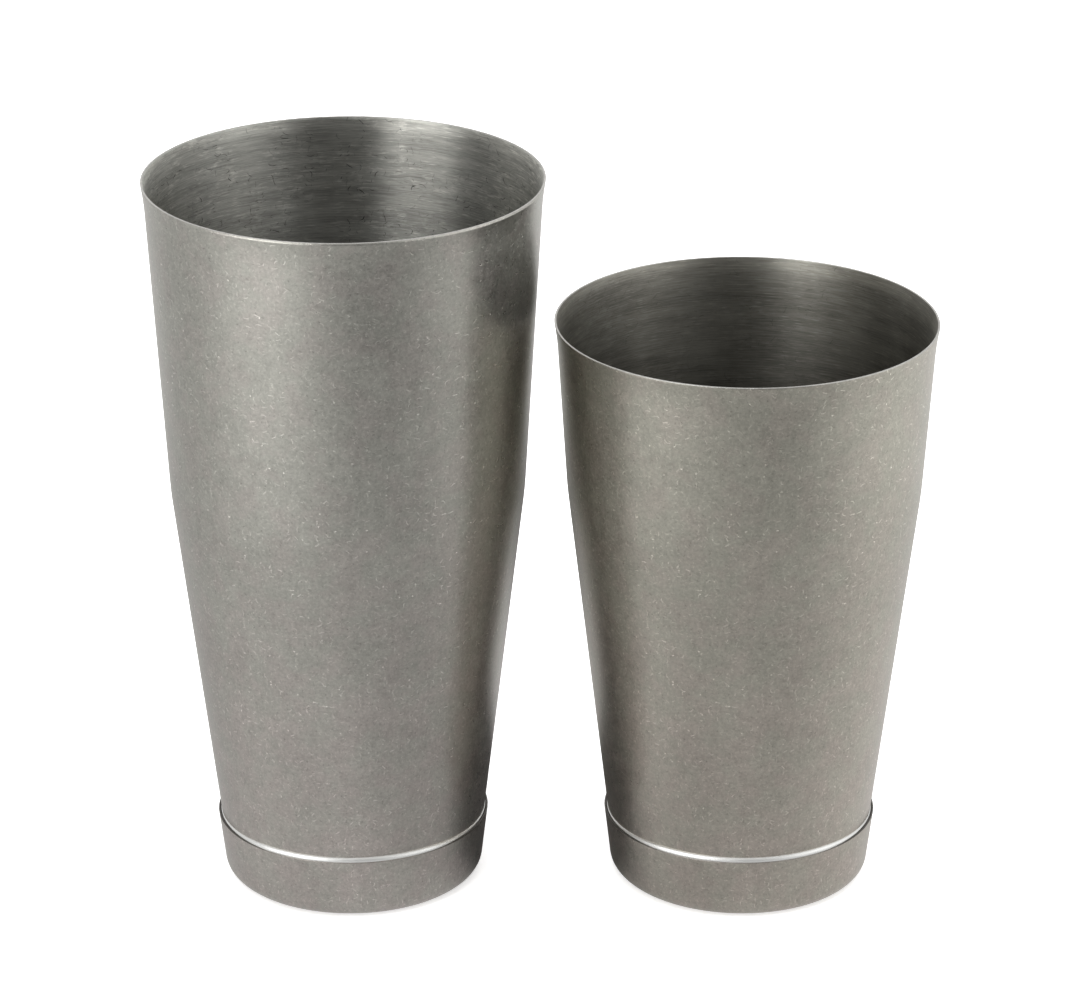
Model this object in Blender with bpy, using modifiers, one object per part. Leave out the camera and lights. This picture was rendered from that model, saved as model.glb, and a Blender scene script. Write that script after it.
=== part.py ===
"""Cocktail shaker set: a large and a small weighted tin, standing mouth up side by side.

Each tin is a deep-drawn steel shell with a shallow base cap pressed over its lower end. A steel
weight disc lies in the cap, a bond pad holds it to the shell's floor, and a weld bead round the
cap's top edge seals the two together.

Units are metres and +Z is up. The origin is on the table, in the middle of the pair.
"""

import math
from collections import namedtuple

import bpy

# Driving dimensions, in metres
SEGMENTS = 48  # facets round each turned piece
WALL = 0.0005  # sheet thickness of the shells and caps
FIT_GAP = 0.0003  # clearance between neighbouring pieces

LARGE_HEIGHT = 0.1726
LARGE_RIM_RADIUS = 0.0460
SMALL_HEIGHT = 0.1382
SMALL_RIM_RADIUS = 0.04425
AXIS_SPACING = 0.0921  # between the two tins' centre lines

# Both tins are drawn on the same lower tooling: a steep taper up to the waist, then a gentler one
WAIST_HEIGHT = 0.0975
WAIST_RADIUS = 0.04116
WAIST_BLEND = 0.0025  # half the height over which one taper turns into the other
HEEL_HEIGHT = 0.0155  # where the shell comes out of its base cap
HEEL_RADIUS = 0.03135
LIP_HEIGHT = 0.0024  # the planished edge, which flares a little
LIP_FLARE = 0.0004

CAP_HEIGHT = HEEL_HEIGHT
CORNER_RADIUS = 0.0040  # outer radius at the bottom corner of both shell and cap
CORNER_STEPS = 5

DISC_THICKNESS = 0.0040
DISC_RADIUS = 0.0272
DISC_CHAMFER = 0.0004
PAD_THICKNESS = 0.0006
PAD_RADIUS = 0.0252

BEAD_HEIGHT = 0.0007
BEAD_WIDTH = 0.0004
BEAD_STEPS = 3

MERGE_DISTANCE = 0.00001

# Heights of the stack inside the cap
DISC_FLOOR = WALL + FIT_GAP
PAD_FLOOR = DISC_FLOOR + DISC_THICKNESS + FIT_GAP
SHELL_FLOOR = PAD_FLOOR + PAD_THICKNESS + FIT_GAP

LOWER_TAPER = math.atan2(WAIST_RADIUS - HEEL_RADIUS, WAIST_HEIGHT - HEEL_HEIGHT)
SIDE_WALL = WALL / math.cos(LOWER_TAPER)  # the sheet's thickness measured level
CAP_OFFSET = FIT_GAP + SIDE_WALL  # from the shell's side out to the cap's

# The pair's widest points are the two rims, so the origin lies midway between them
PAIR_WIDTH = LARGE_RIM_RADIUS + AXIS_SPACING + SMALL_RIM_RADIUS
LARGE_AXIS_X = LARGE_RIM_RADIUS - PAIR_WIDTH / 2
SMALL_AXIS_X = LARGE_AXIS_X + AXIS_SPACING

Tin = namedtuple("Tin", "name height rim_radius axis_x")
TINS = (
    Tin("large_tin", LARGE_HEIGHT, LARGE_RIM_RADIUS, LARGE_AXIS_X),
    Tin("small_tin", SMALL_HEIGHT, SMALL_RIM_RADIUS, SMALL_AXIS_X),
)


def clear_scene():
    for obj in list(bpy.data.objects):
        bpy.data.objects.remove(obj)


def metal(name, colour, roughness, metallic=1.0):
    """A Principled material with one even colour."""
    material = bpy.data.materials.new(name)
    material.use_nodes = True
    shader = material.node_tree.nodes["Principled BSDF"]
    shader.inputs["Base Color"].default_value = (*colour, 1.0)
    shader.inputs["Roughness"].default_value = roughness
    shader.inputs["Metallic"].default_value = metallic
    material.diffuse_color = (*colour, 1.0)
    return material


def arc(centre_r, centre_z, radius, start, end, steps):
    """Points (r, z) along an arc, with angles in radians from +r towards +z."""
    points = []
    for step in range(steps + 1):
        angle = start + (end - start) * step / steps
        points.append((centre_r + radius * math.cos(angle), centre_z + radius * math.sin(angle)))
    return points


def lower_radius(z):
    """Outer radius of the shell's steep lower taper at height z."""
    return WAIST_RADIUS + (z - WAIST_HEIGHT) * math.tan(LOWER_TAPER)


def upper_radius(tin, z):
    """Outer radius of the shell's gentle upper taper at height z, before the lip flares."""
    cone_top = tin.rim_radius - LIP_FLARE
    slope = (cone_top - WAIST_RADIUS) / (tin.height - WAIST_HEIGHT)
    return WAIST_RADIUS + (z - WAIST_HEIGHT) * slope


def cup_bottom(floor_z, offset, radius):
    """Floor centre and rounded corner of a cup, up to where the corner meets its tapered side.

    The corner is part of the outer corner circle, or concentric with it when radius is smaller.
    """
    centre_z = floor_z + CORNER_RADIUS
    tangent_z = centre_z - CORNER_RADIUS * math.sin(LOWER_TAPER)
    centre_r = lower_radius(tangent_z) + offset - CORNER_RADIUS * math.cos(LOWER_TAPER)
    corner = arc(centre_r, centre_z, radius, -math.pi / 2, -LOWER_TAPER, CORNER_STEPS)
    return [(0.0, corner[0][1])] + corner


def shell_side(tin, inset):
    """The shell's side from the heel up to the rim, moved in by inset."""
    lip_start = tin.height - LIP_HEIGHT
    side = [
        (lower_radius(HEEL_HEIGHT), HEEL_HEIGHT),
        (lower_radius(WAIST_HEIGHT - WAIST_BLEND), WAIST_HEIGHT - WAIST_BLEND),
        (upper_radius(tin, WAIST_HEIGHT + WAIST_BLEND), WAIST_HEIGHT + WAIST_BLEND),
        (upper_radius(tin, lip_start), lip_start),
        (tin.rim_radius, tin.height),
    ]
    return [(r - inset, z) for r, z in side]


def shell_profile(tin):
    """From the middle of the inner floor up the inside, over the rim and down the outside."""
    inner = cup_bottom(SHELL_FLOOR, 0.0, CORNER_RADIUS - WALL) + shell_side(tin, SIDE_WALL)
    outer = cup_bottom(SHELL_FLOOR, 0.0, CORNER_RADIUS) + shell_side(tin, 0.0)
    return inner + outer[::-1]


def cap_profile():
    """A shallow cup, run in the same order as the shell."""
    cap_top = lower_radius(CAP_HEIGHT) + CAP_OFFSET
    inner = cup_bottom(0.0, CAP_OFFSET, CORNER_RADIUS - WALL) + [(cap_top - SIDE_WALL, CAP_HEIGHT)]
    outer = cup_bottom(0.0, CAP_OFFSET, CORNER_RADIUS) + [(cap_top, CAP_HEIGHT)]
    return inner + outer[::-1]


def disc_profile():
    """A flat disc with both edges broken, from the top centre down to the bottom centre."""
    top = DISC_FLOOR + DISC_THICKNESS
    flat = DISC_RADIUS - DISC_CHAMFER
    return [
        (0.0, top),
        (flat, top),
        (DISC_RADIUS, top - DISC_CHAMFER),
        (DISC_RADIUS, DISC_FLOOR + DISC_CHAMFER),
        (flat, DISC_FLOOR),
        (0.0, DISC_FLOOR),
    ]


def pad_profile():
    """A thin round layer between the disc and the shell's floor."""
    top = PAD_FLOOR + PAD_THICKNESS
    return [(0.0, top), (PAD_RADIUS, top), (PAD_RADIUS, PAD_FLOOR), (0.0, PAD_FLOOR)]


def bead_profile():
    """A closed fillet that lies on the cap's top edge and leans on the shell's side."""
    bottom = CAP_HEIGHT + FIT_GAP
    top = bottom + BEAD_HEIGHT
    inner = [(lower_radius(z) + FIT_GAP, z) for z in (bottom, top)]
    bulge = []
    for step in range(BEAD_STEPS - 1, -1, -1):
        angle = math.pi / 2 * step / BEAD_STEPS
        z = bottom + BEAD_HEIGHT * math.sin(angle)
        bulge.append((lower_radius(z) + FIT_GAP + BEAD_WIDTH * math.cos(angle), z))
    return inner + bulge


def turned(name, profile, tin_frame, collection, material, ring=False):
    """A turned piece: the profile (r, z) screwed once round the tin's centre line."""
    mesh = bpy.data.meshes.new(name)
    edges = [(i, i + 1) for i in range(len(profile) - 1)]
    if ring:
        edges.append((len(profile) - 1, 0))
    mesh.from_pydata([(r, 0.0, z) for r, z in profile], edges, [])
    mesh.materials.append(material)
    piece = bpy.data.objects.new(name, mesh)
    piece.parent = tin_frame
    collection.objects.link(piece)
    turn = piece.modifiers.new("Turn", "SCREW")
    turn.steps = turn.render_steps = SEGMENTS
    turn.use_merge_vertices = True
    turn.merge_threshold = MERGE_DISTANCE
    turn.use_smooth_shade = True
    return piece


def build_tin(tin, collection, materials):
    """The five pieces of one tin, on an empty that stands on its centre line."""
    frame = bpy.data.objects.new(tin.name, None)
    frame.location.x = tin.axis_x
    collection.objects.link(frame)
    pieces = (
        ("shell", shell_profile(tin), "satin_steel", False),
        ("base_cap", cap_profile(), "satin_steel", False),
        ("weight_disc", disc_profile(), "mild_steel", False),
        ("bond_pad", pad_profile(), "bond", False),
        ("seam_weld", bead_profile(), "bright_steel", True),
    )
    for piece_name, profile, material_name, ring in pieces:
        material = materials[material_name]
        turned(f"{tin.name}_{piece_name}", profile, frame, collection, material, ring)


def main():
    clear_scene()
    collection = bpy.data.collections.new("cocktail_shaker_set")
    bpy.context.scene.collection.children.link(collection)
    materials = {
        "satin_steel": metal("satin_steel", (0.52, 0.52, 0.50), 0.36),
        "bright_steel": metal("bright_steel", (0.80, 0.80, 0.78), 0.15),
        "mild_steel": metal("mild_steel", (0.30, 0.30, 0.31), 0.55),
        "bond": metal("bond", (0.06, 0.06, 0.06), 0.80, metallic=0.0),
    }
    for tin in TINS:
        build_tin(tin, collection, materials)


main()
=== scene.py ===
"""Cocktail shaker set: two weighted steel tins with tumbled outsides and brushed insides.

The file is laid out as a Blender add-on. Each operator makes one kind of piece for both tins, sized
from the CAD frame, and the last one sets the studio round them. Units are metres, +Z is up, and
the front is -Y.
"""

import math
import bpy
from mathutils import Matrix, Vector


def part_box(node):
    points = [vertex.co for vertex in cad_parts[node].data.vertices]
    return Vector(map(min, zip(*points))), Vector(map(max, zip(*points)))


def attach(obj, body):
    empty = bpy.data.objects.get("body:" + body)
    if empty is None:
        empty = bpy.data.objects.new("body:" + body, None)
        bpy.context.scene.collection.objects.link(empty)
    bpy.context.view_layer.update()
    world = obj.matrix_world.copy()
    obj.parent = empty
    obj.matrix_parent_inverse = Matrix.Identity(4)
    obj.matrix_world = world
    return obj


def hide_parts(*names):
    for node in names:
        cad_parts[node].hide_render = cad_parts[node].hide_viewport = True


bl_info = {
    "name": "Cocktail Shaker Set",
    "version": (1, 0, 0),
    "blender": (4, 5, 0),
    "location": "3D View > Sidebar > Shaker Set",
    "description": "Turns two weighted shaking tins, finishes them in worn steel and lights them",
    "category": "Add Mesh",
}

import bmesh
import bpy
from bpy.props import FloatProperty, FloatVectorProperty, IntProperty, PointerProperty
from mathutils import Vector

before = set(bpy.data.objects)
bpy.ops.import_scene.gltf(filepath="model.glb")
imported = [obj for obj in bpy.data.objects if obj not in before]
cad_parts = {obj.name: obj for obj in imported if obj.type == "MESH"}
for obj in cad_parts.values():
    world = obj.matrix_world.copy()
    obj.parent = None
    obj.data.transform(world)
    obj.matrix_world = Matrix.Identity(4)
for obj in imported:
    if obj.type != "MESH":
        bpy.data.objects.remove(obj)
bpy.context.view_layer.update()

TINS = ("large_tin", "small_tin")
LEVEL_DIGITS = 6  # heights that agree to a micron belong to one ring of a CAD node
MEAN_RADIUS = 0.038  # a tin's radius halfway up, at which its skin is unrolled
SAME_POINT = 1e-9  # points nearer to each other than this are one point


# ---------------------------------------------------------------- sizes read from the frame


def cad_rings(node):
    """The heights of a turned CAD node's rings, each with its smallest and largest radius."""
    low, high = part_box(node)
    centre_x = (low.x + high.x) / 2
    radii = {}
    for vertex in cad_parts[node].data.vertices:
        level = round(vertex.co.z, LEVEL_DIGITS)
        radii.setdefault(level, []).append(math.hypot(vertex.co.x - centre_x, vertex.co.y))
    return [(z, min(radii[z]), max(radii[z])) for z in sorted(radii)]


class TinSizes:
    """What the CAD frame says about one tin: where it stands and the outline of its side."""

    def __init__(self, tin):
        shell_low, shell_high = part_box(f"{tin}_shell")
        cap_low, cap_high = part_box(f"{tin}_base_cap")
        bead_low, bead_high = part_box(f"{tin}_seam_weld")
        disc_low, disc_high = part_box(f"{tin}_weight_disc")
        pad_low, pad_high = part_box(f"{tin}_bond_pad")
        self.axis_x = (shell_low.x + shell_high.x) / 2
        self.floor = shell_low.z
        self.height = shell_high.z
        self.cap_top = cap_high.z
        self.cap_radius = (cap_high.y - cap_low.y) / 2
        self.bead_top = bead_high.z
        self.bead_radius = (bead_high.y - bead_low.y) / 2
        self.disc = (disc_low.z, disc_high.z, (disc_high.y - disc_low.y) / 2)
        self.pad = (pad_low.z, pad_high.z, (pad_high.y - pad_low.y) / 2)
        rings = cad_rings(f"{tin}_shell")
        self.sheet = rings[-1][2] - rings[-1][1]
        skins = [(outer, z) for z, inner, outer in rings if outer - inner > self.sheet / 2]
        corner = [(outer, z) for z, _, outer in rings if z < skins[0][1]]
        self.side = [max(corner), *skins]  # foot of the taper, waist, waist, lip, rim

    def lower_radius(self, z):
        """Radius of the steep lower taper at height z."""
        (r0, z0), (r1, z1) = self.side[:2]
        return r0 + (r1 - r0) * (z - z0) / (z1 - z0)


SIZES = {tin: TinSizes(tin) for tin in TINS}


# ---------------------------------------------------------------- settings


class ShakerShapeSettings(bpy.types.PropertyGroup):
    """Sizes of the details that the frame leaves out."""

    segments: IntProperty(
        name="Segments", description="Facets round each turned piece", default=256, min=48
    )
    corner_radius: FloatProperty(
        name="Bottom corner",
        description="Outer radius of the rounded corner under each tin",
        default=0.004,
        unit="LENGTH",
    )
    edge_radius: FloatProperty(
        name="Edge rounding",
        description="Rounding of the trimmed sheet edges",
        default=0.00012,
        unit="LENGTH",
    )
    cap_edge_radius: FloatProperty(
        name="Cap edge rounding",
        description="Rounding of the base cap's top outer edge",
        default=0.0003,
        unit="LENGTH",
    )
    flare_height: FloatProperty(
        name="Flare",
        description="Height over which each tin's side turns out to its rim",
        default=0.007,
        unit="LENGTH",
    )
    bead_least: FloatProperty(
        name="Least bead",
        description="Size of the weld bead at the sides, as a share of its size at the front",
        default=0.22,
        subtype="FACTOR",
    )
    groove_radius: FloatProperty(
        name="Stamped ring",
        description="Radius of the shallow ring stamped into each underside",
        default=0.021,
        unit="LENGTH",
    )
    groove_depth: FloatProperty(
        name="Ring depth",
        description="Depth of the stamped ring",
        default=0.00025,
        unit="LENGTH",
    )
    disc_chamfer: FloatProperty(
        name="Disc chamfer",
        description="Broken edge of the weight disc",
        default=0.0004,
        unit="LENGTH",
    )


class ShakerFinishSettings(bpy.types.PropertyGroup):
    """Colours and roughness of the steel."""

    large_tin_outside: FloatVectorProperty(
        name="Large outside",
        description="Colour of the large tin's tumbled outside",
        subtype="COLOR",
        default=(0.460, 0.444, 0.413),
    )
    small_tin_outside: FloatVectorProperty(
        name="Small outside",
        description="Colour of the small tin's tumbled outside",
        subtype="COLOR",
        default=(0.461, 0.438, 0.389),
    )
    large_tin_inside: FloatVectorProperty(
        name="Large inside",
        description="Colour of the large tin's brushed inside",
        subtype="COLOR",
        default=(0.47, 0.465, 0.44),
    )
    # Darker than the large tin's inside: painted shade for the dimmer light inside the small tin.
    small_tin_inside: FloatVectorProperty(
        name="Small inside",
        description="Colour of the small tin's brushed inside",
        subtype="COLOR",
        default=(0.300, 0.290, 0.264),
    )
    edge_colour: FloatVectorProperty(
        name="Cut edge",
        description="Colour of the bare trimmed edges",
        subtype="COLOR",
        default=(0.56, 0.55, 0.52),
    )
    # Painted shadow: this dark colour on the base caps' top edges stands for the shadow in the gap
    # under the weld beads.
    seam_shadow_colour: FloatVectorProperty(
        name="Seam shadow",
        description="Colour of the oxide beside the weld beads",
        subtype="COLOR",
        default=(0.36, 0.335, 0.305),
    )
    weld_colour: FloatVectorProperty(
        name="Weld",
        description="Colour of the weld beads",
        subtype="COLOR",
        default=(0.50, 0.47, 0.40),
    )
    weight_colour: FloatVectorProperty(
        name="Weight",
        description="Colour of the mild steel weight",
        subtype="COLOR",
        default=(0.25, 0.24, 0.23),
    )
    bond_colour: FloatVectorProperty(
        name="Bond",
        description="Colour of the set adhesive",
        subtype="COLOR",
        default=(0.05, 0.05, 0.048),
    )
    outside_roughness: FloatProperty(
        name="Outside roughness",
        description="Roughness of the tumbled steel between its flecks",
        default=0.34,
        subtype="FACTOR",
    )
    inside_roughness: FloatProperty(
        name="Inside roughness",
        description="Roughness of the brushed steel inside",
        default=0.46,
        subtype="FACTOR",
    )


class ShakerStageSettings(bpy.types.PropertyGroup):
    """Camera and studio."""

    lens: FloatProperty(name="Lens", description="Focal length in mm", default=158.9)
    distance: FloatProperty(
        name="Distance",
        description="From the camera to the point it looks at",
        default=1.1125,
        unit="LENGTH",
    )
    pitch: FloatProperty(
        name="Pitch",
        description="How far the camera looks down",
        default=math.radians(22.185),
        subtype="ANGLE",
    )
    aim: FloatVectorProperty(
        name="Aim",
        description="The point the camera looks at",
        subtype="XYZ",
        unit="LENGTH",
        default=(-0.000345, 0.0, 0.09335),
    )
    floor_colour: FloatVectorProperty(
        name="Floor",
        description="Colour of the seamless paper",
        subtype="COLOR",
        default=(0.88, 0.88, 0.88),
    )


# ---------------------------------------------------------------- profiles


def arc(centre, radius, start, end, steps):
    """Points (r, z) along an arc, with angles in radians from +r towards +z."""
    angles = (start + (end - start) * step / steps for step in range(steps + 1))
    return [(centre[0] + radius * math.cos(a), centre[1] + radius * math.sin(a)) for a in angles]


def bend(start, corner, end, steps):
    """A smooth bend from start to end whose ends point at corner."""
    points = []
    for step in range(steps + 1):
        t = step / steps
        weights = ((1 - t) ** 2, 2 * t * (1 - t), t * t)
        points.append(
            tuple(sum(w * p[i] for w, p in zip(weights, (start, corner, end))) for i in (0, 1))
        )
    return points


def line(start, end, steps):
    """Evenly spaced points from start to end."""
    return [
        tuple(start[i] + (end[i] - start[i]) * step / steps for i in (0, 1))
        for step in range(steps + 1)
    ]


def meeting_point(a, b, c, d):
    """Where the line through a and b meets the line through c and d."""
    slope_ab = (b[0] - a[0]) / (b[1] - a[1])
    slope_cd = (d[0] - c[0]) / (d[1] - c[1])
    z = (c[0] - a[0] + slope_ab * a[1] - slope_cd * c[1]) / (slope_ab - slope_cd)
    return (a[0] + slope_ab * (z - a[1]), z)


def moved(points, dr):
    """The points moved out by dr."""
    return [(r + dr, z) for r, z in points]


def joined(*runs):
    """Runs of points as one, without the repeated point where two runs meet."""
    whole = []
    for run in runs:
        whole += run[1:] if whole and math.dist(whole[-1], run[0]) < SAME_POINT else run
    return whole


def cup_corner(sizes, floor, offset, radius, corner_radius, steps=16):
    """The rounded bottom corner of a cup, from its flat floor to its tapered side."""
    taper = math.atan(sizes.lower_radius(1.0) - sizes.lower_radius(0.0))
    centre_z = floor + corner_radius
    tangent_z = centre_z - corner_radius * math.sin(taper)
    centre_r = sizes.lower_radius(tangent_z) + offset - corner_radius * math.cos(taper)
    return arc((centre_r, centre_z), radius, -math.pi / 2, -taper, steps)


def shell_side(sizes, flare, edge):
    """The shell's outer side, from its foot up to where the rim's edge starts to round off."""
    foot, waist_low, waist_high, lip, rim = sizes.side
    waist = meeting_point(foot, waist_low, waist_high, lip)
    slope = (lip[0] - waist_high[0]) / (lip[1] - waist_high[1])
    flare_start, flare_corner = (
        (lip[0] + slope * (z - lip[1]), z) for z in (rim[1] - flare, rim[1] - flare / 2)
    )
    return joined(
        line(foot, waist_low, 16),
        bend(waist_low, waist, waist_high, 8),
        line(waist_high, flare_start, 14),
        bend(flare_start, flare_corner, (rim[0], rim[1] - edge), 12),
    )


def shell_profile(sizes, shape):
    """Runs of the shell's profile by finish: the inside, the trimmed edge, the outside."""
    edge, sheet = shape.edge_radius, sizes.sheet
    rim_radius = sizes.side[-1][0]
    side = shell_side(sizes, shape.flare_height, edge)
    corner = shape.corner_radius
    outer_corner = cup_corner(sizes, sizes.floor, 0.0, corner, corner)
    inner_corner = cup_corner(sizes, sizes.floor, 0.0, corner - sheet, corner)
    inner_floor = line((0.0, inner_corner[0][1]), inner_corner[0], 10)
    outer_floor = line((0.0, sizes.floor), outer_corner[0], 4)
    inside = joined(inner_floor, inner_corner, moved(side[1:], -sheet))
    edge_z = sizes.height - edge
    trimmed = joined(
        arc((rim_radius - sheet + edge, edge_z), edge, math.pi, math.pi / 2, 4),
        arc((rim_radius - edge, edge_z), edge, math.pi / 2, 0.0, 4),
    )
    outside = joined(side[:0:-1], outer_corner[::-1], outer_floor[::-1])
    return inside, trimmed, outside


def cap_profile(sizes, shape):
    """Runs of the base cap's profile: the hidden inside, the rounded top edge, the outside."""
    sheet, corner, round_over = sizes.sheet, shape.corner_radius, shape.cap_edge_radius
    offset = sizes.cap_radius - sizes.lower_radius(sizes.cap_top)
    outer_corner = cup_corner(sizes, 0.0, offset, corner, corner)
    inner_corner = cup_corner(sizes, 0.0, offset, corner - sheet, corner)
    inner_top = (sizes.cap_radius - sheet, sizes.cap_top)
    inside = joined([(0.0, sheet), inner_corner[0]], inner_corner, [inner_corner[-1], inner_top])
    edge_z = sizes.cap_top - round_over
    edge_r = sizes.lower_radius(edge_z) + offset - round_over
    top_edge = joined(
        [inner_top, (edge_r, sizes.cap_top)], arc((edge_r, edge_z), round_over, math.pi / 2, 0.0, 6)
    )
    groove, depth = shape.groove_radius, shape.groove_depth
    half_width, steps = 3 * depth, 12
    stamped = [
        (groove + half_width * math.cos(a), depth / 2 * (1 - math.cos(2 * a)))
        for a in (math.pi * step / steps for step in range(steps + 1))
    ]
    outside = joined(line(top_edge[-1], outer_corner[-1], 8), outer_corner[::-1])
    underside = joined([outer_corner[0], stamped[0]], stamped, [stamped[-1], (0.0, 0.0)])
    return inside, top_edge, outside, underside


def bead_profile(sizes):
    """The weld bead: a rounded fillet rooted in the shell's side and the cap's top edge."""
    root = 0.00005  # how far the bead runs into the two sheets, so that no gap shows
    steps = 10
    bottom, top = sizes.cap_top - root, sizes.bead_top
    inner = [(sizes.lower_radius(z) - root, z) for z in (bottom, top)]
    width = sizes.bead_radius - sizes.lower_radius(bottom)
    height = top - bottom
    bulge = [
        (sizes.lower_radius(bottom) + width * math.cos(a), bottom + height * math.sin(a))
        for a in (math.pi / 2 * (1 - step / steps) for step in range(steps + 1))
    ]
    return joined(inner, bulge, inner[:1])


def disc_profile(low, high, radius, chamfer):
    """A flat disc with broken edges, from the middle of its top to the middle of its underside."""
    flat = radius - chamfer
    return joined(
        line((0.0, high), (flat, high), 6),
        arc((flat, high - chamfer), chamfer, math.pi / 2, 0.0, 4),
        [(radius, high - chamfer), (radius, low + chamfer)],
        arc((flat, low + chamfer), chamfer, 0.0, -math.pi / 2, 4),
        line((flat, low), (0.0, low), 6),
    )


# ---------------------------------------------------------------- turning


def turned_piece(name, runs, axis_x, materials, segments):
    """A turned mesh object: runs of (r, z) joined end to end, each run with its own material."""
    points = joined(*runs)
    finish = []
    for index, run in enumerate(runs):
        finish += [index] * (len(joined(run)) - 1)
    closed = math.dist(points[0], points[-1]) < SAME_POINT
    if closed:
        points = points[:-1]
    form = bmesh.new()
    rings = []
    for r, z in points:
        if r < SAME_POINT:
            rings.append([form.verts.new((0.0, 0.0, z))])
            continue
        turns = (math.tau * step / segments for step in range(segments))
        rings.append([form.verts.new((r * math.cos(a), r * math.sin(a), z)) for a in turns])
    if closed:
        rings.append(rings[0])
    for upper, lower, slot in zip(rings, rings[1:], finish):
        for step in range(segments):
            after = (step + 1) % segments
            corners = [
                upper[step % len(upper)],
                lower[step % len(lower)],
                lower[after % len(lower)],
                upper[after % len(upper)],
            ]
            face = form.faces.new(list(dict.fromkeys(corners)))
            face.material_index = slot
            face.smooth = True
    mesh = bpy.data.meshes.new(name)
    form.to_mesh(mesh)
    form.free()
    for material in materials:
        mesh.materials.append(material)
    piece = bpy.data.objects.new(name, mesh)
    piece.location.x = axis_x
    bpy.context.scene.collection.objects.link(piece)
    return piece


def thin_at_sides(bead, sizes, least):
    """Narrows a weld bead from its full size at the front and back to least of it at the sides."""
    spread = 1.6  # the bead is at its full size where this times sin(angle)^2 passes 1
    for vertex in bead.data.vertices:
        x, y, z = vertex.co
        radius = math.hypot(x, y)
        size = least + (1 - least) * min(1.0, spread * (y / radius) ** 2)
        z = sizes.cap_top + (z - sizes.cap_top) * size
        root = sizes.lower_radius(z)
        scale = (root + (radius - sizes.lower_radius(vertex.co.z)) * size) / radius
        vertex.co = (x * scale, y * scale, z)


def stand_in(piece, tin, node):
    """The piece takes a CAD node's place and moves with its tin."""
    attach(piece, tin)
    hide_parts(node)


# ---------------------------------------------------------------- shader nodes


class Nodes:
    """A tree of shader nodes, with short ways to add nodes and join them."""

    def __init__(self, tree):
        self.tree = tree

    def add(self, kind, inputs=(), **settings):
        """A node with these settings, whose inputs take numbers, vectors or other outputs."""
        node = self.tree.nodes.new(kind)
        for key, value in settings.items():
            setattr(node, key, value)
        for key, value in dict(inputs).items():
            if isinstance(value, bpy.types.NodeSocket):
                self.tree.links.new(value, node.inputs[key])
            else:
                node.inputs[key].default_value = value
        return node

    def split(self, vector):
        """The x, y and z of a vector."""
        return self.add("ShaderNodeSeparateXYZ", {0: vector}).outputs

    def join(self, x, y):
        """The level vector (x, y, 0)."""
        return self.add("ShaderNodeCombineXYZ", {0: x, 1: y}).outputs[0]

    def math(self, operation, a, b=0.0):
        """An operation on one or two numbers."""
        return self.add("ShaderNodeMath", {0: a, 1: b}, operation=operation).outputs[0]

    def vector(self, operation, a, b=(0.0, 0.0, 0.0)):
        """An operation on one or two vectors: a vector, or a number for a length or distance."""
        node = self.add("ShaderNodeVectorMath", {0: a, 1: b}, operation=operation)
        return node.outputs["Value" if operation in ("LENGTH", "DISTANCE") else "Vector"]

    def total(self, *terms, base=0.0):
        """The sum of (weight, value) pairs, and of base."""
        result = None
        for weight, value in terms:
            term = self.math("MULTIPLY", value, weight)
            result = term if result is None else self.math("ADD", result, term)
        return self.math("ADD", result, base) if base else result

    def ramp(self, value, low, high, out_low=0.0, out_high=1.0):
        """value from low to high, brought to out_low to out_high along a smooth step."""
        node = self.add(
            "ShaderNodeMapRange",
            {0: value, 1: low, 2: high, 3: out_low, 4: out_high},
            interpolation_type="SMOOTHSTEP",
        )
        return node.outputs[0]

    def azimuth(self, x, y):
        """The angle of (x, y) from the front towards +X."""
        return self.math("ARCTAN2", x, self.math("MULTIPLY", y, -1.0))

    def ring(self, azimuth, stops):
        """Levels round the tins, from stops of (azimuth in degrees, level)."""
        peak = max(level for _, level in stops)
        share = self.add("ShaderNodeMapRange", {0: azimuth, 1: -math.pi, 2: math.pi}).outputs[0]
        node = self.add("ShaderNodeValToRGB", {0: share})
        node.color_ramp.interpolation = "B_SPLINE"
        elements = node.color_ramp.elements
        for degrees, _ in stops[1:-1]:
            elements.new(degrees / 360 + 0.5)
        for element, (_, level) in zip(elements, stops):
            element.color = (level / peak, level / peak, level / peak, 1.0)
        return self.math("MULTIPLY", node.outputs[0], peak)


# ---------------------------------------------------------------- finishes


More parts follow.
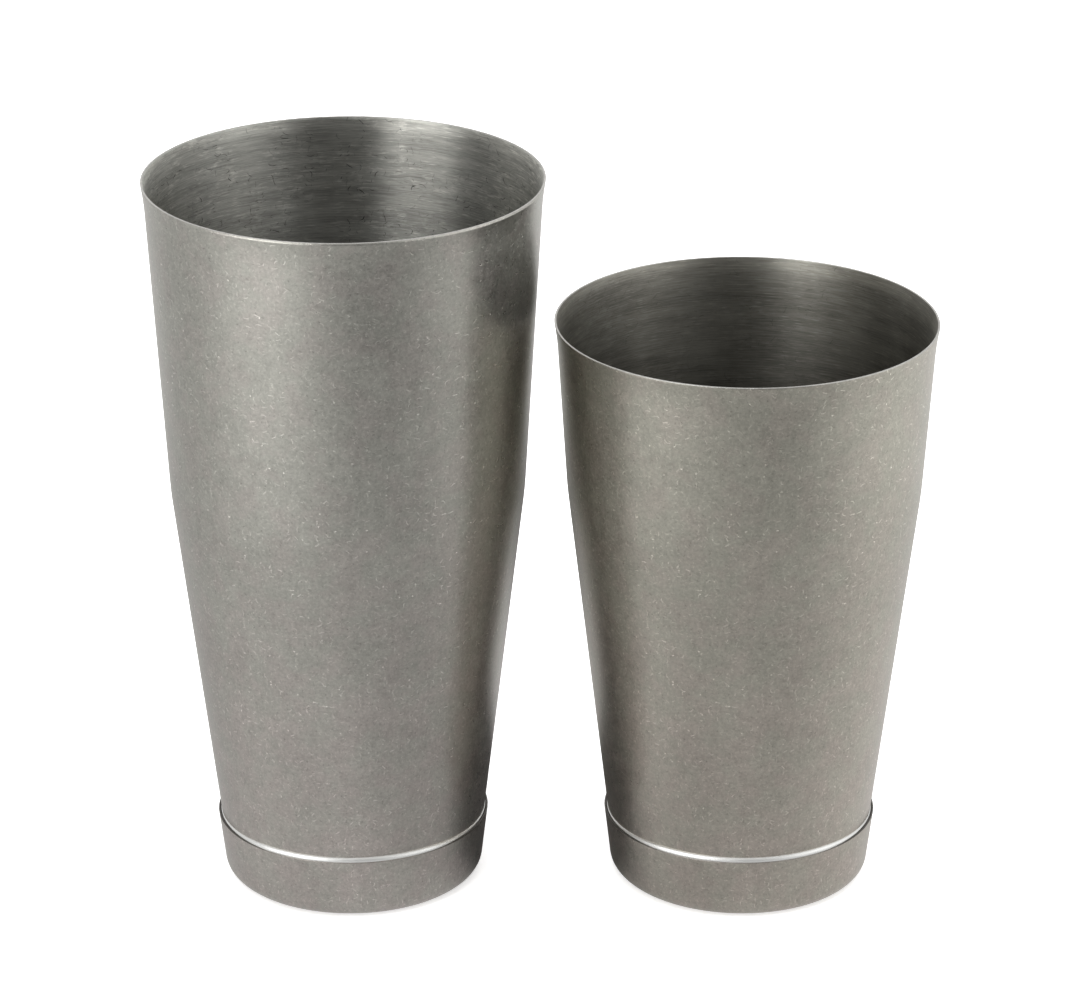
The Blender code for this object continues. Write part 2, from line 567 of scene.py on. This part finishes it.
class Finish(Nodes):
    """One procedural material, worked out from each point's place on its piece."""

    def __init__(self, name):
        self.material = bpy.data.materials.new(name)
        self.material.use_nodes = True
        super().__init__(self.material.node_tree)
        self.shader = self.tree.nodes["Principled BSDF"]
        self.place = self.add("ShaderNodeTexCoord").outputs["Object"]

    def noise(self, place, size, detail=2.0, roughness=0.5, distortion=0.0):
        """Noise from 0 to 1 whose features are about size across, in metres."""
        inputs = {
            "Vector": place,
            "Scale": 1 / size,
            "Detail": detail,
            "Roughness": roughness,
            "Distortion": distortion,
        }
        return self.add("ShaderNodeTexNoise", inputs).outputs["Fac"]

    def lined(self, skin, packing, size, **settings):
        """Noise drawn out round the tin, its lines packed this many times closer up the side."""
        return self.noise(self.vector("MULTIPLY", skin, (1.0, packing, 1.0)), size, **settings)

    def unrolled(self, flat=False):
        """The skin laid out flat: round the tin and up its side, or as it is on a flat face."""
        x, y, z = self.split(self.place)
        level = self.join(x, y)
        if flat:
            return level
        around = self.math("MULTIPLY", self.math("ARCTAN2", y, x), MEAN_RADIUS)
        return self.join(around, self.math("ADD", z, self.vector("LENGTH", level)))

    def strokes(self, skin, spacing, length, width, share):
        """Short curved strokes at random angles, one to a cell, in a share of the cells."""
        cells = self.add(
            "ShaderNodeTexVoronoi", {"Vector": skin, "Scale": 1 / spacing}, voronoi_dimensions="2D"
        )
        draws = self.add("ShaderNodeSeparateColor", {0: cells.outputs["Color"]})
        chance, turn, curl = draws.outputs
        offset = self.vector("SUBTRACT", skin, cells.outputs["Position"])
        angle = self.math("MULTIPLY", turn, math.tau)
        turned = self.add(
            "ShaderNodeVectorRotate", {"Vector": offset, "Angle": angle}, rotation_type="Z_AXIS"
        )
        along, across, _ = self.split(turned.outputs[0])
        most_bow = 2.4 / length
        bow = self.math("MULTIPLY", self.math("SUBTRACT", curl, 0.5), most_bow)
        bowed = self.math("ADD", across, self.math("MULTIPLY", bow, self.math("POWER", along, 2.0)))
        in_length = self.ramp(self.math("ABSOLUTE", along), length / 2, length / 4)
        in_width = self.ramp(self.math("ABSOLUTE", bowed), width / 2, width / 6)
        strength = self.ramp(chance, share, 0.0)
        return self.math("MULTIPLY", self.math("MULTIPLY", in_length, in_width), strength)

    def mix(self, first, second, factor=1.0, blend="MULTIPLY"):
        """Two colours multiplied, or mixed by factor."""
        node = self.add(
            "ShaderNodeMix",
            {0: factor, 6: first, 7: second},
            data_type="RGBA",
            blend_type=blend,
        )
        return node.outputs[2]

    def shade(self, colour, tone, tints=None):
        """colour times tone, drifting between two tints where tints is (a, b, factor)."""
        base = (*colour, 1.0)
        if tints:
            first, second, factor = tints
            tint = self.mix((*first, 1.0), (*second, 1.0), factor, blend="MIX")
            base = self.mix(tint, base)
        grey = self.add("ShaderNodeCombineColor", {0: tone, 1: tone, 2: tone}).outputs[0]
        return self.mix(base, grey)

    def finish(self, colour, roughness, height=None, depth=0.0, metallic=1.0, anisotropy=0.0):
        """Joins the colour, roughness and bump to the shader."""
        links, inputs = self.tree.links, self.shader.inputs
        links.new(colour, inputs["Base Color"])
        links.new(roughness, inputs["Roughness"])
        inputs["Metallic"].default_value = metallic
        if anisotropy:
            inputs["Anisotropic"].default_value = anisotropy
            inputs["Anisotropic Rotation"].default_value = 0.25
            tangent = self.add("ShaderNodeTangent", direction_type="RADIAL", axis="Z")
            links.new(tangent.outputs[0], inputs["Tangent"])
        if height:
            bump = self.add("ShaderNodeBump", {"Height": height, "Distance": depth})
            links.new(bump.outputs["Normal"], inputs["Normal"])
        return self.material


def tumbled_steel(name, colour, settings, flat=False):
    """The outside: satin steel tumbled with media that leaves nicks, painted bright as glints at
    every angle.
    """
    f = Finish(name)
    skin = f.unrolled(flat)
    patches = f.noise(f.place, 0.014, detail=3.0)
    cloud = f.noise(f.place, 0.0026, detail=2.0, roughness=0.6)
    grain = f.noise(f.place, 0.0007, detail=2.0, roughness=0.8)
    crowd = f.ramp(f.noise(f.place, 0.009, detail=2.0), 0.35, 0.65, 0.35, 1.25)
    dashes = f.strokes(skin, spacing=0.0021, length=0.0015, width=0.00036, share=0.80)
    dashes = f.math("MULTIPLY", dashes, crowd)
    nicks = f.strokes(skin, spacing=0.0012, length=0.0008, width=0.00028, share=0.90)
    painted_glint_nicks = f.strokes(skin, spacing=0.0034, length=0.0006, width=0.00040, share=0.45)
    painted_glint_nicks = f.math("MULTIPLY", painted_glint_nicks, crowd)
    pits = f.strokes(skin, spacing=0.0014, length=0.0007, width=0.00030, share=0.70)
    # The dashes, nicks and glint nicks are real marks, painted lighter in colour as glints; the
    # pits are darker.
    tone = f.total(
        (0.20, patches),
        (0.28, cloud),
        (0.62, grain),
        (0.46, dashes),
        (0.24, nicks),
        (0.90, painted_glint_nicks),
        (-0.22, pits),
        base=0.41,
    )
    height_up = f.split(f.place)[2]
    drift = f.noise(f.place, 0.0075, detail=3.0, roughness=0.65)
    cool = f.total((0.55, f.ramp(height_up, 0.0, 0.13)), (0.60, f.ramp(drift, 0.36, 0.64)))
    tints = ((1.040, 0.982, 0.985), (0.985, 1.005, 0.975), cool)
    roughness = f.total(
        (-0.10, dashes),
        (-0.10, painted_glint_nicks),
        (0.16, grain),
        (0.10, cloud),
        base=settings.outside_roughness - 0.13,
    )
    height = f.total((0.6, grain), (-0.6, dashes), (-0.5, nicks), (-1.0, painted_glint_nicks), (-0.6, pits))
    return f.finish(f.shade(colour, tone, tints), roughness, height, depth=0.00002)


def brushed_steel(name, colour, rim, brushing, wear, settings):
    """The inside: brushed round and round, with painted shade further down, stained and scuffed by
    use.
    """
    f = Finish(name)
    skin = f.unrolled()
    fine_lines = f.lined(skin, 28.0, 0.007, detail=3.0, roughness=0.7)
    broad_lines = f.lined(skin, 8.0, 0.020, detail=2.0)
    dashes = f.lined(skin, 9.0, 0.0032, detail=1.0)
    stains = f.noise(f.place, 0.010, detail=4.0, roughness=0.6)
    worn = f.ramp(f.noise(f.place, 0.011, detail=2.0), 0.40, 0.58, 0.15 * wear, wear)
    rubbed = f.lined(skin, 3.0, 0.0030, detail=3.0, roughness=0.7)
    scuffs = f.math("MULTIPLY", f.ramp(rubbed, 0.50, 0.66), worn)
    cracks = f.strokes(skin, spacing=0.0026, length=0.0021, width=0.00024, share=0.60)
    cracks = f.math("MULTIPLY", cracks, worn)
    nicks = f.strokes(skin, spacing=0.0015, length=0.0010, width=0.00024, share=0.70)
    nicks = f.math("MULTIPLY", nicks, worn)
    tone = f.total(
        (0.34, f.ramp(fine_lines, 0.34, 0.66)),
        (0.20, f.ramp(broad_lines, 0.35, 0.65)),
        (0.45, f.ramp(dashes, 0.60, 0.76)),
        (0.50, stains),
        (0.38, scuffs),
        (-0.75, cracks),
        (-0.55, nicks),
        base=0.44,
    )
    height_up = f.split(f.place)[2]
    # Painted shade: the tone darkens further down inside the tin.
    tone = f.math("MULTIPLY", tone, f.ramp(height_up, rim - 0.055, rim, 0.55, 1.0))
    tone = f.math("MULTIPLY", tone, f.ramp(height_up, rim - 0.004, rim - 0.001, 1.0, 1.35))
    tints = ((1.0, 0.99, 0.96), (0.985, 1.0, 0.98), stains)
    roughness = f.total(
        (-0.20, fine_lines),
        (0.10, stains),
        (0.10, cracks),
        base=settings.inside_roughness + 0.05,
    )
    height = f.total((1.0, fine_lines), (0.4, broad_lines), (-0.6, cracks), (-0.6, nicks))
    return f.finish(
        f.shade(colour, tone, tints),
        roughness,
        height,
        depth=0.00002,
        anisotropy=brushing,
    )


def bright_steel(name, colour, roughness_from, sides=1.0):
    """Bare metal, burnished and a little uneven: cut edges, and weld beads with painted shade at
    the sides.
    """
    f = Finish(name)
    ripple = f.noise(f.place, 0.0016, detail=2.0)
    grain = f.noise(f.place, 0.0003, detail=1.0)
    x, y, _ = f.split(f.place)
    side_shade_mask = f.math("ABSOLUTE", f.math("DIVIDE", x, f.vector("LENGTH", f.join(x, y))))
    tone = f.total((0.60, ripple), (0.30, grain), base=0.55)
    # Painted shade: darker at the left and right sides of the tin, down to sides of the tone.
    tone = f.math("MULTIPLY", tone, f.ramp(side_shade_mask, 0.35, 0.85, 1.0, sides))
    roughness = f.total((0.20, ripple), (0.10, grain), base=roughness_from)
    height = f.total((1.0, ripple), (0.3, grain))
    return f.finish(f.shade(colour, tone), roughness, height, depth=0.00006)


def weight_steel(name, settings):
    """The sealed weight: rolled mild steel with mill scale and a little rust bloom."""
    f = Finish(name)
    scale = f.noise(f.place, 0.006, detail=4.0, roughness=0.6)
    rolled = f.lined(f.place, 24.0, 0.02, detail=3.0)
    specks = f.strokes(
        f.unrolled(flat=True), spacing=0.0030, length=0.0010, width=0.0006, share=0.60
    )
    tone = f.total((0.5, scale), (0.4, rolled), (-0.3, specks), base=0.55)
    tints = ((1.0, 1.0, 1.0), (1.25, 0.88, 0.62), f.ramp(scale, 0.55, 0.75))
    roughness = f.total((0.3, scale), (0.1, rolled), base=0.35)
    colour = f.shade(settings.weight_colour, tone, tints)
    return f.finish(colour, roughness, f.total((1.0, scale)), depth=0.00005)


def set_bond(name, settings):
    """The adhesive: a dark, rubbery layer with trapped bubbles."""
    f = Finish(name)
    swirl = f.noise(f.place, 0.008, detail=3.0, distortion=1.2)
    bubbles = f.strokes(
        f.unrolled(flat=True), spacing=0.0022, length=0.0007, width=0.0007, share=0.70
    )
    tone = f.total((0.6, swirl), (-0.4, bubbles), base=0.70)
    roughness = f.total((0.25, swirl), (-0.2, bubbles), base=0.55)
    height = f.total((1.0, swirl), (-0.6, bubbles))
    colour = f.shade(settings.bond_colour, tone)
    return f.finish(colour, roughness, height, depth=0.0001, metallic=0.0)


INSIDE_USE = {"large_tin": (1.0, 1.0), "small_tin": (0.7, 0.35)}  # (how brushed, how worn)


def finish_named(name):
    """The material of that name, made the first time it is asked for.

    Known fault: the frame has plain materials named weld_steel and weight_steel. They are found
    here first, so those two finishes are never made and their colour settings do nothing.
    """
    found = bpy.data.materials.get(name)
    if found:
        return found
    settings = bpy.context.scene.shaker_finish
    tin = next((tin for tin in TINS if name.startswith(tin)), "")
    if name.endswith("_inside"):
        brushing, wear = INSIDE_USE[tin]
        rim = SIZES[tin].height
        return brushed_steel(name, getattr(settings, name), rim, brushing, wear, settings)
    if tin:
        colour = getattr(settings, f"{tin}_outside")
        return tumbled_steel(name, colour, settings, flat=name.endswith("_underside"))
    # The caps' dark top edges: painted shadow of the gap under the weld beads, darker still at the
    # sides.
    if name == "seam_shadow":
        return bright_steel(name, settings.seam_shadow_colour, roughness_from=0.36, sides=0.30)
    if name == "cut_edge":
        return bright_steel(name, settings.edge_colour, roughness_from=0.26)
    if name == "weld_steel":
        return bright_steel(name, settings.weld_colour, roughness_from=0.33, sides=0.15)
    return {"weight_steel": weight_steel, "set_bond": set_bond}[name](name, settings)


# ---------------------------------------------------------------- stage

PAPER_GLOW = 0.5  # the paper is bright enough to lose all but the closest shadows

# Brightness of what the steel mirrors: (azimuth in degrees from the front towards +X, level)
NEAR_RING = (
    (-180, 0.60), (-110, 0.56), (-62, 0.62), (-34, 0.58), (-15, 0.45), (42, 0.45),
    (60, 0.58), (90, 0.82), (120, 0.85), (180, 0.70),
)
FAR_RING = (
    (-180, 0.95), (-140, 0.75), (-100, 0.50), (-75, 0.65), (-52, 1.38), (-35, 1.15), (-12, 0.30),
    (5, 0.20), (30, 0.18), (60, 0.80), (80, 1.05), (100, 1.0), (180, 0.95),
)
RING_CHANGE = (0.22, 0.42)  # the near ring gives way to the far one between these distances
WALL_RING = (
    (-180, 1.00), (-140, 0.90), (-85, 0.40), (-76, 0.80), (-70, 1.00), (-66, 2.50), (-58, 2.80),
    (-42, 3.00), (-29, 2.90), (-25, 2.60), (-21, 0.25), (-16, 0.16), (5, 0.17), (28, 0.22),
    (42, 1.00), (60, 1.50), (95, 1.35), (118, 0.7), (180, 1.00),
)
CEILING = 0.68
CEILING_RISE = (0.55, 0.95)  # sines of the heights between which the walls turn into ceiling

# Painted shadow round each tin's foot, on the table that the steel mirrors.
FOOT_SHADE = (0.030, 0.070, 0.97, 1.0)  # round each tin: from this far, to this far, level, level
# Painted shade on the table between the tins and behind them, wider across than deep. Their x is
# in squeezed units: (centre, radius of the dark core, radius where it ends, level in the core)
SQUEEZE = 0.6
PAINTED_SHADOW_SPOTS = (
    ((0.005, 0.026), 0.027, 0.055, 0.06),
    ((0.003, 0.205), 0.020, 0.105, 0.25),
)


def hide_from(thing, *rays):
    """Keeps a mesh or light out of these kinds of ray."""
    for ray in rays:
        setattr(thing, f"visible_{ray}", False)


def lay_floor(stage):
    """A wide paper floor that sweeps up into a wall all round, seen but not mirrored."""
    flat, sweep, wall = 1.6, 1.2, 2.6
    profile = joined(
        [(0.0, 0.0), (flat, 0.0)],
        arc((flat, sweep), sweep, -math.pi / 2, 0.0, 16),
        [(flat + sweep, sweep), (flat + sweep, wall)],
    )
    f = Finish("paper_floor")
    mottle = f.noise(f.place, 0.05, detail=3.0)
    tone = f.total((0.02, mottle), base=0.99)
    roughness = f.total((0.1, mottle), base=0.85)
    material = f.finish(f.shade(stage.floor_colour, tone), roughness, metallic=0.0)
    f.shader.inputs["Emission Color"].default_value = (1.0, 1.0, 1.0, 1.0)
    f.shader.inputs["Emission Strength"].default_value = PAPER_GLOW
    floor = turned_piece("paper_floor", [profile[::-1]], 0.0, [material], 96)
    hide_from(floor, "glossy", "diffuse", "shadow", "transmission")


def lay_reflection():
    """What the steel mirrors in place of the floor: a table top with painted light and shade.

    It is brightest far out to the front left, bright to the right, and has painted shade in front
    of the tins, between them and just behind them.
    """
    f = Finish("table_glow")
    azimuth = f.azimuth(*f.split(f.place)[:2])
    near = f.ring(azimuth, NEAR_RING)
    far = f.ring(azimuth, FAR_RING)
    out = f.ramp(f.vector("LENGTH", f.place), *RING_CHANGE)
    level = f.add("ShaderNodeMix", {0: out, 2: near, 3: far}).outputs[0]
    # Painted shadow round each tin's foot.
    for sizes in SIZES.values():
        away = f.vector("DISTANCE", f.place, (sizes.axis_x, 0.0, 0.0))
        level = f.math("MULTIPLY", level, f.ramp(away, *FOOT_SHADE))
    # Painted shade between the tins and behind them.
    squeezed = f.vector("MULTIPLY", f.place, (SQUEEZE, 1.0, 1.0))
    for spot, core, edge, least in PAINTED_SHADOW_SPOTS:
        away = f.vector("DISTANCE", squeezed, (*spot, 0.0))
        level = f.math("MULTIPLY", level, f.ramp(away, core, edge, least, 1.0))
    glow = f.add("ShaderNodeEmission", {"Strength": level})
    f.tree.links.new(glow.outputs[0], f.tree.nodes["Material Output"].inputs["Surface"])
    f.tree.nodes.remove(f.shader)
    reach, below_floor = 6.0, 0.0005
    table = turned_piece("table_reflection", [[(reach, 0.0), (0.0, 0.0)]], 0.0, [f.material], 64)
    table.location.z = -below_floor
    hide_from(table, "camera", "diffuse", "shadow", "transmission")


def place_camera(scene, stage):
    """The camera, level from side to side and looking down at its aim from the front."""
    data = bpy.data.cameras.new("camera")
    data.sensor_width = 36.0
    data.lens = stage.lens
    data.clip_end = 20.0
    camera = bpy.data.objects.new("camera", data)
    back = Vector((0.0, -math.cos(stage.pitch), math.sin(stage.pitch)))
    camera.location = Vector(stage.aim) + back * stage.distance
    camera.rotation_euler = (math.pi / 2 - stage.pitch, 0.0, 0.0)
    scene.collection.objects.link(camera)
    scene.camera = camera


def hang_softbox(scene):
    """A wide soft light almost straight above the tins, which the steel doesn't mirror."""
    elevation, distance, aim_height = math.radians(88), 1.8, 0.08
    data = bpy.data.lights.new("overhead_softbox", "AREA")
    data.size = 2.2
    data.energy = 46
    away = Vector((0.0, -math.cos(elevation), math.sin(elevation)))
    light = bpy.data.objects.new("overhead_softbox", data)
    light.location = away * distance + Vector((0.0, 0.0, aim_height))
    light.rotation_mode = "QUATERNION"
    light.rotation_quaternion = away.to_track_quat("Z", "Y")
    hide_from(light, "glossy")
    scene.collection.objects.link(light)


def light_surroundings(scene):
    """Surroundings for the steel to mirror: brightness by direction round and above the tins."""
    world = bpy.data.worlds.new("studio")
    world.use_nodes = True
    scene.world = world
    w = Nodes(world.node_tree)
    x, y, z = w.split(w.add("ShaderNodeTexCoord").outputs["Generated"])
    walls = w.ring(w.azimuth(x, y), WALL_RING)
    level = w.add("ShaderNodeMix", {0: w.ramp(z, *CEILING_RISE), 2: walls, 3: CEILING})
    background = w.tree.nodes["Background"]
    w.tree.links.new(level.outputs[0], background.inputs["Strength"])
    background.inputs["Color"].default_value = (1.0, 1.0, 1.0, 1.0)


# ---------------------------------------------------------------- operators


class SHAKER_OT_shells(bpy.types.Operator):
    """Turn the two drawn shells"""

    bl_idname = "shaker.shells"
    bl_label = "Turn Shells"

    def execute(self, context):
        shape = context.scene.shaker_shape
        for tin, sizes in SIZES.items():
            names = (f"{tin}_inside", "cut_edge", f"{tin}_outside")
            materials = [finish_named(name) for name in names]
            runs = shell_profile(sizes, shape)
            piece = turned_piece(
                f"{tin}_drawn_shell", runs, sizes.axis_x, materials, shape.segments
            )
            stand_in(piece, tin, f"{tin}_shell")
        return {"FINISHED"}


class SHAKER_OT_base_caps(bpy.types.Operator):
    """Turn the base caps pressed over the lower ends"""

    bl_idname = "shaker.base_caps"
    bl_label = "Turn Base Caps"

    def execute(self, context):
        shape = context.scene.shaker_shape
        for tin, sizes in SIZES.items():
            names = ("weight_steel", "seam_shadow", f"{tin}_outside", f"{tin}_underside")
            materials = [finish_named(name) for name in names]
            runs = cap_profile(sizes, shape)
            piece = turned_piece(
                f"{tin}_pressed_cap", runs, sizes.axis_x, materials, shape.segments
            )
            stand_in(piece, tin, f"{tin}_base_cap")
        return {"FINISHED"}


class SHAKER_OT_weld_beads(bpy.types.Operator):
    """Run the weld beads round the base caps' top edges"""

    bl_idname = "shaker.weld_beads"
    bl_label = "Run Weld Beads"

    def execute(self, context):
        shape = context.scene.shaker_shape
        materials = [finish_named("weld_steel")]
        for tin, sizes in SIZES.items():
            runs = [bead_profile(sizes)]
            piece = turned_piece(f"{tin}_weld_bead", runs, sizes.axis_x, materials, shape.segments)
            thin_at_sides(piece, sizes, shape.bead_least)
            stand_in(piece, tin, f"{tin}_seam_weld")
        return {"FINISHED"}


class SHAKER_OT_weights(bpy.types.Operator):
    """Make the weight discs and the bond that holds them, inside the base caps"""

    bl_idname = "shaker.weights"
    bl_label = "Make Weights"

    def execute(self, context):
        shape = context.scene.shaker_shape
        chamfer = shape.disc_chamfer
        for tin, sizes in SIZES.items():
            layers = (
                ("weight", "weight_disc", sizes.disc, chamfer, "weight_steel", "weight_steel"),
                ("bond_layer", "bond_pad", sizes.pad, chamfer / 2, "set_bond", "bond"),
            )
            for name, node, size, broken_edge, finish, slot in layers:
                runs = [disc_profile(*size, broken_edge)]
                materials = [finish_named(finish)]
                piece = turned_piece(f"{tin}_{name}", runs, sizes.axis_x, materials, shape.segments)
                stand_in(piece, tin, f"{tin}_{node}")
        return {"FINISHED"}


class SHAKER_OT_stage(bpy.types.Operator):
    """Lay the seamless floor and set the camera, the light and the surroundings"""

    bl_idname = "shaker.stage"
    bl_label = "Set Stage"

    def execute(self, context):
        stage = context.scene.shaker_stage
        lay_floor(stage)
        lay_reflection()
        place_camera(context.scene, stage)
        hang_softbox(context.scene)
        light_surroundings(context.scene)
        context.scene.view_settings.view_transform = "Standard"
        return {"FINISHED"}


class SHAKER_PT_panel(bpy.types.Panel):
    """The steps in order, with their settings"""

    bl_label = "Cocktail Shaker Set"
    bl_idname = "SHAKER_PT_panel"
    bl_space_type = "VIEW_3D"
    bl_region_type = "UI"
    bl_category = "Shaker Set"

    def draw(self, context):
        layout = self.layout
        for operator in OPERATORS:
            layout.operator(operator.bl_idname)
        for settings in SETTINGS:
            group = getattr(context.scene, settings)
            box = layout.box()
            for name in group.__annotations__:
                box.prop(group, name)


# ---------------------------------------------------------------- registration and running

SETTINGS = {
    "shaker_shape": ShakerShapeSettings,
    "shaker_finish": ShakerFinishSettings,
    "shaker_stage": ShakerStageSettings,
}
OPERATORS = (
    SHAKER_OT_shells,
    SHAKER_OT_base_caps,
    SHAKER_OT_weld_beads,
    SHAKER_OT_weights,
    SHAKER_OT_stage,
)
CLASSES = (*SETTINGS.values(), *OPERATORS, SHAKER_PT_panel)


def register():
    """Adds the settings, the operators and the panel to Blender."""
    for cls in CLASSES:
        bpy.utils.register_class(cls)
    for name, group in SETTINGS.items():
        setattr(bpy.types.Scene, name, PointerProperty(type=group))


def unregister():
    """Takes them out again."""
    for name in SETTINGS:
        delattr(bpy.types.Scene, name)
    for cls in reversed(CLASSES):
        bpy.utils.unregister_class(cls)


def main():
    """Makes every piece and the stage."""
    register()
    bpy.ops.shaker.shells()
    bpy.ops.shaker.base_caps()
    bpy.ops.shaker.weld_beads()
    bpy.ops.shaker.weights()
    bpy.ops.shaker.stage()


if __name__ == "__main__":
    main()
